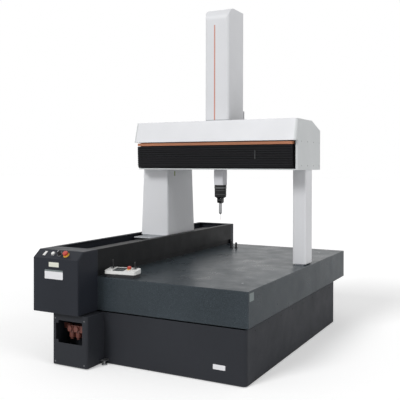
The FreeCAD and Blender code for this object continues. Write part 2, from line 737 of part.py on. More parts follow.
def housing_end(lower_front, x0, x1, outer_x):
    """Dished end of the housing: a rounded skin with a rim that meets the covers."""
    outline = housing_outline(lower_front)
    cap = prism_x(outline, x0, x1)

    def outer_edge(edge):
        b = edge.BoundBox
        on_face = b.XLength < 0.1 and abs(b.XMin - outer_x) < 0.1
        return on_face and b.ZMax > HOUSING_BOTTOM + 1 and not (b.ZLength < 0.1 and b.ZMin < VISOR_Z + 1)

    cap = round_edges(cap, 14.0, outer_edge)
    side = 1 if outer_x > x0 else -1
    inner_x = x0 if side > 0 else x1
    dish = face_of([V(inner_x, y, z) for y, z in outline]).makeOffset2D(-END_RIM)
    cap = cap.cut(dish.extrude(V(side * (END_CAP - END_SKIN), 0, 0)))
    return cap


def leg_notch(x0, x1, y0, y1):
    """Opening in the lower rim of an end cap, where a leg comes up through it."""
    return box(x0, x1, y0, y1, HOUSING_BOTTOM - 1, HOUSING_BOTTOM + 60)


def housing_upper_cover():
    lean = (HOUSING_FRONT - VISOR_Y) / (HOUSING_TOP - VISOR_Z)
    t = HOUSING_SHEET
    profile = [
        (VISOR_Y, VISOR_Z), (HOUSING_FRONT, HOUSING_TOP), (ROOF_SLOT[0], HOUSING_TOP),
        (ROOF_SLOT[0], HOUSING_TOP - t), (HOUSING_FRONT + t * (1 - lean), HOUSING_TOP - t),
        (VISOR_Y + t * (1 + lean), VISOR_Z + t), (GRILLE_BACK + 8, VISOR_Z + t), (GRILLE_BACK + 8, VISOR_Z),
    ]
    return prism_x(profile, inner_x0, inner_x1)


def housing_rear_cover():
    t = HOUSING_SHEET
    slope = (HOUSING_TOP - ROOF_BACK_Z) / (HOUSING_REAR - ROOF_BACK_Y)
    profile = [
        (ROOF_SLOT[1], HOUSING_TOP), (ROOF_BACK_Y, HOUSING_TOP), (HOUSING_REAR, ROOF_BACK_Z),
        (HOUSING_REAR, HOUSING_BOTTOM + 6), (HOUSING_REAR - t, HOUSING_BOTTOM + 6),
        (HOUSING_REAR - t, ROOF_BACK_Z - t * (1 - slope)), (ROOF_BACK_Y - t * slope / 2, HOUSING_TOP - t),
        (ROOF_SLOT[1], HOUSING_TOP - t),
    ]
    return prism_x(profile, inner_x0, inner_x1)


def housing_floor():
    """Front strip with a raised lip, and the floor behind it, notched for the spindle and the legs."""
    z0, z1 = HOUSING_BOTTOM, HOUSING_BOTTOM + FLOOR_SHEET
    strip = box(inner_x0, inner_x1, HOUSING_FRONT, FLOOR_SLOT[0], z0, z1)
    strip = strip.fuse(box(inner_x0, inner_x1, HOUSING_FRONT, HOUSING_FRONT + 8, z1, z1 + 3.4))
    tray = box(inner_x0, inner_x1, FLOOR_SLOT[0], HOUSING_REAR, z0, z1)
    tray = tray.cut(box(-430, 674, FLOOR_SLOT[0] - 1, FLOOR_SLOT[1], z0 - 1, z1 + 1))
    tray = tray.cut(box(ax0 - 1, ax1, ay0 - 1, ay1 + 1, z0 - 1, z1 + 1))
    return group([strip, tray.cut(box(-730, -500, 110, 450, z0 - 1, z1 + 1))])


def grille_plan(z0, z1, front):
    radii = (10.0, GRILLE_CORNER_R - 1, 0, 0)
    return rounded_block(HOUSING_LEFT + 1.5, GRILLE_RIGHT, front, GRILLE_BACK, z0, z1, radii)


def housing_grille():
    """Row of horizontal ribs that steps back towards the bottom, with a chin that turns under."""
    first_crest = -57.0
    recede = 0.06
    points = [(GRILLE_BACK, GRILLE_TOP), (first_crest + RIB_DEPTH, GRILLE_TOP)]
    for i in range(RIB_COUNT):
        top = GRILLE_TOP - 2 - i * RIB_PITCH
        crest = first_crest + recede * (GRILLE_TOP - top)
        groove = crest + RIB_DEPTH
        points += [(groove, top), (crest, top - 3), (crest + 0.4, top - 10), (groove, top - 13.5)]
    chin = GRILLE_TOP - 2 - RIB_COUNT * RIB_PITCH
    points += [(groove, chin), (-44.0, chin - 3), (-26.0, GRILLE_BOTTOM), (GRILLE_BACK, GRILLE_BOTTOM)]
    ribs = prism_x(points, HOUSING_LEFT, GRILLE_RIGHT + 1)
    ribs = ribs.common(grille_plan(GRILLE_BOTTOM - 1, GRILLE_TOP + 1, first_crest - 1))
    floor_top = HOUSING_BOTTOM + FLOOR_SHEET
    back = box(inner_x0, inner_x1, GRILLE_BACK, GRILLE_BACK + GRILLE_SHEET, floor_top, VISOR_Z)
    return ribs.fuse(back)


def bellows(x0, x1, folds):
    """Folded cover strip in the roof slot."""
    pitch = (x1 - x0) / folds
    low, high, t = 1838.0, 1862.0, 1.6
    top, bottom = [], []
    for i in range(folds):
        x = x0 + i * pitch
        top += [(x, low + t), (x + pitch / 2, high)]
        bottom += [(x, low), (x + pitch / 2, high - t)]
    top.append((x1, low + t))
    bottom.append((x1, low))
    return prism_y(top + bottom[::-1], ROOF_SLOT[0] + 3, ROOF_SLOT[1] - 3)


parts["housing_end_right"] = housing_end(HOUSING_FRONT, inner_x1, HOUSING_RIGHT, HOUSING_RIGHT).cut(
    leg_notch(inner_x1 - 1, ax1 + 1, ay0 - 1, ay1 + 1)
)
parts["housing_end_left"] = housing_end(GRILLE_BACK + 6, HOUSING_LEFT, inner_x0, HOUSING_LEFT).cut(
    leg_notch(HOUSING_LEFT + END_SKIN, inner_x0 + 1, 100, 455)
)
parts["housing_upper_cover"] = housing_upper_cover()
parts["housing_rear_cover"] = housing_rear_cover()
parts["housing_floor"] = housing_floor()
parts["housing_grille"] = housing_grille()
parts["accent_stripe"] = grille_plan(STRIPE_Z[0], STRIPE_Z[1], -56.0)

# ---------------------------------------------------------------- X carriage

CARRIAGE = (-95.0, 185.0)
cx0, cx1 = CARRIAGE
neck_x0, neck_x1 = -65.0, 160.0


def x_carriage():
    guide = box(SPINDLE_X - 70, SPINDLE_X + 70, 12, 150, GUIDE_BOTTOM, GUIDE_TOP)
    front = box(cx0, cx1, 130, BEAM_FRONT - 8, GUIDE_BOTTOM, 1830)
    top = box(cx0, cx1, 130, 388, BEAM_TOP + 10, 1830)
    rear = box(cx0, cx1, BEAM_REAR + 10, 388, 1560, 1830)
    neck = box(neck_x0, neck_x1, 150, ROOF_SLOT[1] - 3, 1830, 1869)
    flange = rounded_block(
        COLUMN[0] + 1, COLUMN[1] - 1, COLUMN[2] + 1, COLUMN[3] - 1, 1869, COLUMN_BASE, COLUMN_CORNER_R
    )
    frame = guide.fuse([front, top, rear, neck, flange])
    hollow = box(
        SPINDLE_X - GUIDE_HALF, SPINDLE_X + GUIDE_HALF, SPINDLE_Y - GUIDE_HALF, SPINDLE_Y + GUIDE_HALF,
        GUIDE_BOTTOM - 1, GUIDE_TOP + 1,
    )
    seat = cylinder(BALANCE_R + 0.5, BALANCE_X, BALANCE_Y, BEAM_TOP, COLUMN_BASE + 1)
    return frame.cut(hollow).cut(seat)


def carriage_bearing_pads():
    pads = []
    for x in (cx0 + 50, cx1 - 50):
        for y in (BEAM_FRONT + 45, BEAM_REAR - 45):
            pads.append(box(x - 40, x + 40, y - 28, y + 28, BEAM_TOP + AIR_GAP, BEAM_TOP + 10))
        for z in (GUIDE_BOTTOM + 42, BEAM_TOP - 42):
            pads.append(box(x - 40, x + 40, BEAM_FRONT - 8, BEAM_FRONT - AIR_GAP, z - 30, z + 30))
        pads.append(box(x - 40, x + 40, BEAM_REAR + AIR_GAP, BEAM_REAR + 10, 1610, 1670))
    gap = SPINDLE_HALF + AIR_GAP
    for z in (GUIDE_BOTTOM + 8, GUIDE_TOP - 64):
        for sx, sy in ((1, 0), (-1, 0), (0, 1), (0, -1)):
            if sx:
                xs = sorted((SPINDLE_X + sx * gap, SPINDLE_X + sx * GUIDE_HALF))
                pads.append(box(xs[0], xs[1], SPINDLE_Y - 28, SPINDLE_Y + 28, z, z + 56))
            else:
                ys = sorted((SPINDLE_Y + sy * gap, SPINDLE_Y + sy * GUIDE_HALF))
                pads.append(box(SPINDLE_X - 28, SPINDLE_X + 28, ys[0], ys[1], z, z + 56))
    return group(pads)


def column_side(t, z0):
    """Side outline of the column cover, moved inwards by t."""
    front, rear, top = COLUMN[2] + t, COLUMN[3] - t, COLUMN_TOP - t
    rf, rr = COLUMN_FRONT_R - t, COLUMN_REAR_R - t
    k = math.sqrt(0.5)
    x = COLUMN[0] - 1
    pts = [V(x, front, z0), V(x, front, top - rf), V(x, front + rf - k * rf, top - rf + k * rf)]
    pts += [V(x, front + rf, top), V(x, rear - rr, top), V(x, rear - rr + k * rr, top - rr + k * rr)]
    pts += [V(x, rear, top - rr), V(x, rear, z0)]
    edges = [
        Part.LineSegment(pts[0], pts[1]), Part.Arc(pts[1], pts[2], pts[3]),
        Part.LineSegment(pts[3], pts[4]), Part.Arc(pts[4], pts[5], pts[6]),
        Part.LineSegment(pts[6], pts[7]), Part.LineSegment(pts[7], pts[0]),
    ]
    wire = Part.Wire([e.toShape() for e in edges])
    return Part.Face(wire).extrude(V(COLUMN[1] - COLUMN[0] + 2, 0, 0))


def column_form(t, z0):
    plan = rounded_block(
        COLUMN[0] + t, COLUMN[1] - t, COLUMN[2] + t, COLUMN[3] - t, z0, COLUMN_TOP, COLUMN_CORNER_R - t
    )
    return plan.common(column_side(t, z0))


def stripe_bar():
    half = COLUMN_STRIPE_W / 2
    return box(
        COLUMN_STRIPE_X - half, COLUMN_STRIPE_X + half, COLUMN[2], COLUMN[2] + 2.5,
        COLUMN_BASE, COLUMN_STRIPE_TOP,
    )


def column_cover():
    shell = column_form(0.0, COLUMN_BASE).cut(column_form(COLUMN_SHEET, COLUMN_BASE))
    socket = box(60, COLUMN[1] - 2, COLUMN[3] - 2, COLUMN[3] + 18, COLUMN_BASE, COLUMN_BASE + 92)
    socket = round_edges(socket, 6.0, lambda e: e.BoundBox.YMin > COLUMN[3] + 17 and e.BoundBox.ZLength > 50)
    return shell.fuse(socket).cut(stripe_bar())


def counterbalance_cylinder():
    z0, z1 = BALANCE_Z
    body = cylinder(BALANCE_R, BALANCE_X, BALANCE_Y, z0, z1)
    bore = cylinder(BALANCE_BORE, BALANCE_X, BALANCE_Y, z0 + 10, z1 - 12)
    neck = cylinder(ROD_R + FIT, BALANCE_X, BALANCE_Y, z1 - 13, z1 + 1)
    lug = box(BALANCE_X - 8, BALANCE_X + 8, BALANCE_Y + 16, BALANCE_Y + 60, COLUMN_BASE, COLUMN_BASE + 16)
    return body.fuse(lug).cut(bore).cut(neck)


parts["x_carriage"] = x_carriage()
parts["carriage_bearing_pads"] = carriage_bearing_pads()
parts["column_cover"] = column_cover()
parts["column_stripe"] = stripe_bar()
parts["counterbalance_cylinder"] = counterbalance_cylinder()
parts["bellows_left"] = bellows(inner_x0, neck_x0, 16)
parts["bellows_right"] = bellows(neck_x1, inner_x1, 15)

# ---------------------------------------------------------------- spindle and head


def z_spindle():
    h, w = SPINDLE_HALF, SPINDLE_WALL
    x, y = SPINDLE_X, SPINDLE_Y
    outer = box(x - h, x + h, y - h, y + h, SPINDLE_BOTTOM, SPINDLE_TOP)
    outer = outer.makeChamfer(3.0, [e for e in outer.Edges if e.BoundBox.ZLength > 1000])
    return outer.cut(box(x - h + w, x + h - w, y - h + w, y + h - w, SPINDLE_BOTTOM, SPINDLE_TOP))


def counterbalance_rod():
    rod = cylinder(ROD_R, BALANCE_X, BALANCE_Y, PISTON_Z[1], SPINDLE_TOP)
    piston = cylinder(BALANCE_BORE - FIT, BALANCE_X, BALANCE_Y, PISTON_Z[0], PISTON_Z[1])
    arm = box(SPINDLE_X - 40, BALANCE_X + 14, SPINDLE_Y - 20, SPINDLE_Y + 20, SPINDLE_TOP, SPINDLE_TOP + 12)
    return rod.fuse([piston, arm])


parts["z_spindle"] = z_spindle()
parts["counterbalance_rod"] = counterbalance_rod()

sx, sy = SPINDLE_X, SPINDLE_Y
flange_z, flange_r = HEAD_FLANGE
ring_z, ring_r = HEAD_RING
nose_z, nose_r = HEAD_NOSE

parts["head_mount"] = turned(
    [(0, flange_z), (flange_r, flange_z), (flange_r, SPINDLE_BOTTOM), (0, SPINDLE_BOTTOM)], sx, sy
)
parts["head_ring"] = turned(
    [(20 + FIT, ring_z), (ring_r, ring_z), (ring_r, flange_z), (20 + FIT, flange_z)], sx, sy
)


def head_rotor():
    top = ring_z - 0.4
    body = turned(
        [(0, nose_z), (nose_r, nose_z), (HEAD_BODY_R - 1, HEAD_BODY_BOTTOM), (HEAD_BODY_R, top), (20, top),
         (20, flange_z - 1), (0, flange_z - 1)], sx, sy
    )
    inner = KNUCKLE_HALF + 0.4
    profile = [(sy - 22, nose_z), (sy - 22, PITCH_Z - 8), (sy - 12, PITCH_Z - 20), (sy + 12, PITCH_Z - 20),
               (sy + 22, PITCH_Z - 8), (sy + 22, nose_z)]
    left = prism_x(profile, sx - inner - LUG_T, sx - inner)
    right = prism_x(profile, sx + inner, sx + inner + LUG_T)
    rotor = body.fuse([left, right])
    bore = Part.makeCylinder(6 + FIT, 100, V(sx - 50, sy, PITCH_Z), V(1, 0, 0))
    return rotor.cut(bore)


def probe_knuckle():
    half = KNUCKLE_HALF
    barrel = Part.makeCylinder(KNUCKLE_R, 2 * half, V(sx - half, sy, PITCH_Z), V(1, 0, 0))
    pin = Part.makeCylinder(6, 2 * (half + LUG_T), V(sx - half - LUG_T, sy, PITCH_Z), V(1, 0, 0))
    socket = cylinder(12.5, sx, sy, PITCH_Z - 24, PITCH_Z)
    return barrel.fuse([pin, socket])


parts["head_rotor"] = head_rotor()
parts["probe_knuckle"] = probe_knuckle()

probe_top = PITCH_Z - 24
parts["probe_body"] = turned(
    [(0, PROBE_BOTTOM), (6, PROBE_BOTTOM), (12, PROBE_BOTTOM + 6), (PROBE_R, PROBE_BOTTOM + 13),
     (PROBE_R, probe_top), (0, probe_top)], sx, sy
)
ball_z = TIP_Z + BALL_R
stem_bottom = ball_z + 2.4
parts["stylus"] = turned(
    [(0, stem_bottom), (STYLUS_R, stem_bottom), (STYLUS_R, 1048), (2.2, 1048), (2.2, PROBE_BOTTOM),
     (0, PROBE_BOTTOM)], sx, sy
)


def stylus_ball():
    """Ruby ball as five rings, cut off where the stem meets it."""
    rings = 5
    last = math.acos((stem_bottom - ball_z) / BALL_R)
    meridian = [(0, ball_z - BALL_R)]
    for i in range(1, rings + 1):
        angle = math.pi - (math.pi - last) * i / rings
        meridian.append((BALL_R * math.sin(angle), ball_z + BALL_R * math.cos(angle)))
    return turned(meridian + [(0, stem_bottom)], sx, sy)


parts["stylus_ball"] = stylus_ball()

# ---------------------------------------------------------------- hand box

PENDANT_SEAM = TABLE_TOP + 25
FACE_FRONT_Z, FACE_REAR_Z = 693.0, 705.0
FACE_TILT = math.degrees(math.atan2(FACE_REAR_Z - FACE_FRONT_Z, PENDANT_D))
WELL_DEPTH = 17.0
PIVOT_DEPTH = 7.0
TRUNNION_R = 1.5
STICK_LEFT, STICK_LEFT_WELL = (34.0, 88.0), 17.0
STICK_RIGHT, STICK_RIGHT_WELL = (214.0, 92.0), 13.0
PENDANT_ESTOP = (176.0, 72.0)
STICK_R = 3.5


def face_height(v):
    return FACE_FRONT_Z + (FACE_REAR_Z - FACE_FRONT_Z) * v / PENDANT_D


def on_face(shape, spot):
    """Put a shape modelled about the origin onto the hand box's sloping face."""
    moved = shape.copy()
    moved.rotate(V(0, 0, 0), V(1, 0, 0), FACE_TILT)
    moved.translate(V(spot[0], spot[1], face_height(spot[1])))
    return placed(moved, PENDANT_CORNER[0], PENDANT_CORNER[1], PENDANT_TURN)


def trunnions(reach, axis, r=TRUNNION_R):
    """Pivot pin through the origin of a stick, reaching the same length both ways."""
    return Part.makeCylinder(r, 2 * reach, axis * -reach + V(0, 0, -PIVOT_DEPTH), axis)


def pendant_base():
    body = rounded_block(6, PENDANT_W - 6, 5, PENDANT_D - 5, TABLE_TOP, PENDANT_SEAM, 14.0)
    return placed(body, PENDANT_CORNER[0], PENDANT_CORNER[1], PENDANT_TURN)


def pendant_case():
    block = rounded_block(0, PENDANT_W, 0, PENDANT_D, PENDANT_SEAM, FACE_REAR_Z + 5, 20.0)
    side = [(-1, PENDANT_SEAM), (PENDANT_D + 1, PENDANT_SEAM), (PENDANT_D + 1, face_height(PENDANT_D + 1)),
            (-1, face_height(-1))]
    case = block.common(prism_x(side, -1, PENDANT_W + 1))
    case = placed(case, PENDANT_CORNER[0], PENDANT_CORNER[1], PENDANT_TURN)
    for spot, r in ((STICK_LEFT, STICK_LEFT_WELL), (STICK_RIGHT, STICK_RIGHT_WELL)):
        well = Part.makeCylinder(r, WELL_DEPTH + 10, V(0, 0, -WELL_DEPTH), UP)
        case = case.cut(on_face(well.fuse(trunnions(r + 3, V(1, 0, 0), TRUNNION_R + FIT)), spot))
    return case.cut(on_face(Part.makeCylinder(9, 40, V(0, 0, -WELL_DEPTH - 1), UP), PENDANT_ESTOP))


def joystick_gimbal():
    """Octagonal ring that tilts in the case on one pin and carries the stick on the other."""
    low, high = -PIVOT_DEPTH - 3.5, -PIVOT_DEPTH + 3.5
    ring = polygon_prism(8, 15, 0, 0, low, high).fuse(trunnions(STICK_LEFT_WELL + 2.5, V(1, 0, 0)))
    middle = polygon_prism(8, 9, 0, 0, low - 1, high + 1)
    return on_face(ring.cut(middle).cut(trunnions(20, V(0, 1, 0), TRUNNION_R + FIT)), STICK_LEFT)


def stick(length, hub_r):
    """Lever with a knob, on a six-sided hub."""
    bottom = -PIVOT_DEPTH - 3
    profile = [(0, bottom), (STICK_R, bottom), (STICK_R, length - 14), (5.5, length - 12), (5.5, length),
               (0, length)]
    lever = face_of([V(r, 0, h) for r, h in profile]).revolve(V(0, 0, 0), UP, 360)
    return lever.fuse(polygon_prism(6, hub_r, 0, 0, bottom, bottom + 6))


def joystick_left():
    lever = stick(66.0, 5.0)
    return on_face(lever.fuse(trunnions(14.0, V(0, 1, 0))), STICK_LEFT)


def joystick_right():
    lever = stick(52.0, 8.0)
    return on_face(lever.fuse(trunnions(STICK_RIGHT_WELL + 2.5, V(1, 0, 0))), STICK_RIGHT)


def pendant_estop():
    return on_face(stemmed([(0, 8), (16, 8), (16, 18), (11, 23), (0, 23)], 8.5, 13), PENDANT_ESTOP)


parts["pendant_base"] = pendant_base()
parts["pendant_case"] = pendant_case()
parts["pendant_estop"] = pendant_estop()
parts["joystick_gimbal"] = joystick_gimbal()
parts["joystick_left"] = joystick_left()
parts["joystick_right"] = joystick_right()

# ---------------------------------------------------------------- export

os.makedirs("parts", exist_ok=True)
for name, shape in parts.items():
    assert shape.isValid(), name + " is not valid"
    assert shape.Volume > 0, name + " has no volume"
    shape.exportStep("parts/" + name + ".step")
print(len(parts), "nodes")
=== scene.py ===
"""Looks of a moving-bridge coordinate measuring machine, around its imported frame. Metres."""

import json
import math

import bmesh
import bpy
from mathutils import Matrix, Vector


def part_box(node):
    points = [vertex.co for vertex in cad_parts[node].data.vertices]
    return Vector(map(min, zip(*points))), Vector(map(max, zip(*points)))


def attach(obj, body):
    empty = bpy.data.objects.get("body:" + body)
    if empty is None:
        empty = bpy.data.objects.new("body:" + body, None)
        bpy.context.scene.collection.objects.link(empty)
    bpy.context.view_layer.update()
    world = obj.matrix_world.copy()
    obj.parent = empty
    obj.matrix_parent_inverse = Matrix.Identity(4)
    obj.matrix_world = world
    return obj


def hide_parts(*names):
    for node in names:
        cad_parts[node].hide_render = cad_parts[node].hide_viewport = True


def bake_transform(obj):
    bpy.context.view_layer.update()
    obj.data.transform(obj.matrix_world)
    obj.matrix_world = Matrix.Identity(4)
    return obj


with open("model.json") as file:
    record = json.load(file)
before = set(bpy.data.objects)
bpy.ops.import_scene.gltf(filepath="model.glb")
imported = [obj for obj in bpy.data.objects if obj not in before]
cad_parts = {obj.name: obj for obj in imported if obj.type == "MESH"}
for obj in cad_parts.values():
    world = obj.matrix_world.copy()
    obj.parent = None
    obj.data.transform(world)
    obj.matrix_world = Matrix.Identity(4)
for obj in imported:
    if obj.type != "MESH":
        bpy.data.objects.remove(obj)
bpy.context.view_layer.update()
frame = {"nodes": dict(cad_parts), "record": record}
nodes = frame["nodes"]

# ---------------------------------------------------------------- node tree helpers

SOCKETS = {
    "number": "NodeSocketFloat", "whole": "NodeSocketInt", "colour": "NodeSocketColor",
    "vector": "NodeSocketVector", "material": "NodeSocketMaterial", "geometry": "NodeSocketGeometry",
}


def linear(red, green, blue):
    """A colour given as 0 to 255 on a screen, in the values that a shader takes."""
    parts = [c / 255 for c in (red, green, blue)]
    return (*[c / 12.92 if c <= 0.04045 else ((c + 0.055) / 1.055) ** 2.4 for c in parts], 1.0)


def add(tree, kind, inputs=None, **settings):
    """Add a node, with its settings, its plain input values and the sockets that feed it."""
    made = tree.nodes.new(kind)
    for key, value in settings.items():
        setattr(made, key, value)
    for key, value in (inputs or {}).items():
        if isinstance(value, bpy.types.NodeSocket):
            tree.links.new(value, made.inputs[key])
        else:
            made.inputs[key].default_value = value
    return made


def new_group(name, kind, inputs, outputs):
    tree = bpy.data.node_groups.new(name, kind)
    for label, socket in inputs:
        tree.interface.new_socket(label, in_out="INPUT", socket_type=SOCKETS[socket])
    for label, socket in outputs:
        tree.interface.new_socket(label, in_out="OUTPUT", socket_type=SOCKETS[socket])
    return tree, tree.nodes.new("NodeGroupInput").outputs, tree.nodes.new("NodeGroupOutput").inputs


# ---------------------------------------------------------------- effects that finishes share


def tone_drift():
    """Slow change of tone over a surface, as paint and stone have."""
    tree, given, out = new_group(
        "tone drift", "ShaderNodeTree",
        [("Colour", "colour"), ("Scale", "number"), ("Low", "number"), ("High", "number")],
        [("Colour", "colour")],
    )
    place = add(tree, "ShaderNodeTexCoord").outputs["Object"]
    cloud = add(tree, "ShaderNodeTexNoise", {"Vector": place, "Scale": given["Scale"], "Detail": 5.0})
    tone = add(tree, "ShaderNodeMapRange", {
        "Value": cloud.outputs["Fac"], "From Min": 0.3, "From Max": 0.7,
        "To Min": given["Low"], "To Max": given["High"],
    })
    mixed = add(tree, "ShaderNodeVectorMath", {0: given["Colour"], "Scale": tone.outputs[0]}, operation="SCALE")
    tree.links.new(mixed.outputs[0], out["Colour"])
    return tree


def fine_grain():
    """Small texture of a coat or skin: its height, and a roughness that varies more slowly."""
    tree, given, out = new_group(
        "fine grain", "ShaderNodeTree",
        [("Scale", "number"), ("Smooth", "number"), ("Rough", "number"), ("Stretch", "vector")],
        [("Roughness", "number"), ("Height", "number")],
    )
    place = add(tree, "ShaderNodeTexCoord").outputs["Object"]
    drawn = add(tree, "ShaderNodeVectorMath", {0: place, 1: given["Stretch"]}, operation="MULTIPLY")
    fine = add(tree, "ShaderNodeTexNoise", {"Vector": drawn.outputs[0], "Scale": given["Scale"], "Detail": 3.0})
    slow = add(tree, "ShaderNodeTexNoise", {"Vector": drawn.outputs[0], "Scale": 7.0, "Detail": 6.0})
    gloss = add(tree, "ShaderNodeMapRange", {
        "Value": slow.outputs["Fac"], "From Min": 0.3, "From Max": 0.7,
        "To Min": given["Smooth"], "To Max": given["Rough"],
    })
    tree.links.new(gloss.outputs[0], out["Roughness"])
    tree.links.new(fine.outputs["Fac"], out["Height"])
    return tree


def edge_highlight_and_wear():
    """Lightened outer edges: a painted highlight along rounded edges, with some thinned paint, broken up so that it
    isn't an even line.
    """
    tree, given, out = new_group(
        "edge highlight and wear", "ShaderNodeTree",
        [("Colour", "colour"), ("Edge Colour", "colour"), ("Amount", "number")], [("Colour", "colour")],
    )
    place = add(tree, "ShaderNodeTexCoord").outputs["Object"]
    softened = add(tree, "ShaderNodeBevel", {"Radius": 0.003}, samples=4)
    flat = add(tree, "ShaderNodeNewGeometry").outputs["Normal"]
    alike = add(tree, "ShaderNodeVectorMath", {0: softened.outputs[0], 1: flat}, operation="DOT_PRODUCT")
    # Mask of the outer edges that take the painted highlight
    edge = add(tree, "ShaderNodeMapRange", {
        "Value": alike.outputs["Value"], "From Min": 0.995, "From Max": 0.85, "To Min": 0.0, "To Max": 1.0,
    })
    patches = add(tree, "ShaderNodeTexNoise", {"Vector": place, "Scale": 60.0, "Detail": 4.0})
    broken = add(tree, "ShaderNodeMath", {0: edge.outputs[0], 1: patches.outputs["Fac"]}, operation="MULTIPLY")
    amount = add(tree, "ShaderNodeMath", {0: broken.outputs[0], 1: given["Amount"]}, operation="MULTIPLY")
    mixed = add(tree, "ShaderNodeMix", {
        0: amount.outputs[0], 6: given["Colour"], 7: given["Edge Colour"],
    }, data_type="RGBA")
    tree.links.new(mixed.outputs[2], out["Colour"])
    return tree


def stone_crystals():
    """Fine dark granite: black grains with grey and a few pale crystals."""
    tree, given, out = new_group(
        "stone crystals", "ShaderNodeTree", [("Colour", "colour"), ("Scale", "number")], [("Colour", "colour")],
    )
    place = add(tree, "ShaderNodeTexCoord").outputs["Object"]
    cells = add(tree, "ShaderNodeTexVoronoi", {"Vector": place, "Scale": given["Scale"]})
    value = add(tree, "ShaderNodeSeparateColor", {"Color": cells.outputs["Color"]})
    ramp = add(tree, "ShaderNodeMapRange", {
        "Value": value.outputs["Red"], "From Min": 0.0, "From Max": 1.0, "To Min": 0.7, "To Max": 1.3,
    })
    pale = add(tree, "ShaderNodeMath", {0: value.outputs["Green"], 1: 0.97}, operation="GREATER_THAN")
    lift = add(tree, "ShaderNodeMath", {0: pale.outputs[0], 1: 0.9, 2: ramp.outputs[0]}, operation="MULTIPLY_ADD")
    stone = add(tree, "ShaderNodeVectorMath", {0: given["Colour"], "Scale": lift.outputs[0]}, operation="SCALE")
    tree.links.new(stone.outputs[0], out["Colour"])
    return tree


TONE_DRIFT = tone_drift()
FINE_GRAIN = fine_grain()
EDGE_HIGHLIGHT_AND_WEAR = edge_highlight_and_wear()
STONE_CRYSTALS = stone_crystals()

# ---------------------------------------------------------------- finishes


def finish(name, colour, smooth, rough, grain=900.0, bump=0.15, drift=0.04, edge=0.0, stretch=(1, 1, 1),
           crystals=None, **sockets):
    """One finish: drifting colour, a painted edge highlight with some edge wear, grain in the roughness and the bump.
    """
    material = bpy.data.materials.new(name)
    material.use_nodes = True
    tree = material.node_tree
    shader = tree.nodes["Principled BSDF"]
    base = add(tree, "ShaderNodeGroup", {
        "Colour": linear(*colour), "Scale": 2.5, "Low": 1 - drift, "High": 1 + drift,
    }, node_tree=TONE_DRIFT).outputs[0]
    if crystals:
        base = add(tree, "ShaderNodeGroup", {"Colour": base, "Scale": crystals}, node_tree=STONE_CRYSTALS).outputs[0]
    if edge:
        # Edges lightened by 70 steps: painted highlight of rounded edges, partly worn paint
        edge_highlight_colour = linear(*[min(255, c + 70) for c in colour])
        base = add(tree, "ShaderNodeGroup", {
            "Colour": base, "Edge Colour": edge_highlight_colour, "Amount": edge,
        }, node_tree=EDGE_HIGHLIGHT_AND_WEAR).outputs[0]
    skin = add(tree, "ShaderNodeGroup", {
        "Scale": grain, "Smooth": smooth, "Rough": rough, "Stretch": stretch,
    }, node_tree=FINE_GRAIN)
    relief = add(tree, "ShaderNodeBump", {"Height": skin.outputs["Height"], "Strength": bump, "Distance": 0.0004})
    tree.links.new(base, shader.inputs["Base Color"])
    tree.links.new(skin.outputs["Roughness"], shader.inputs["Roughness"])
    tree.links.new(relief.outputs[0], shader.inputs["Normal"])
    for label, value in sockets.items():
        shader.inputs[label.replace("_", " ")].default_value = value
    return material


SOFT_GLOSS = {"Specular_IOR_Level": 0.2}
STONE_GLOSS = {"Specular_IOR_Level": 0.14}
ALONG_Y = (1.0, 0.03, 1.0)
ALONG_Z = (1.0, 1.0, 0.03)
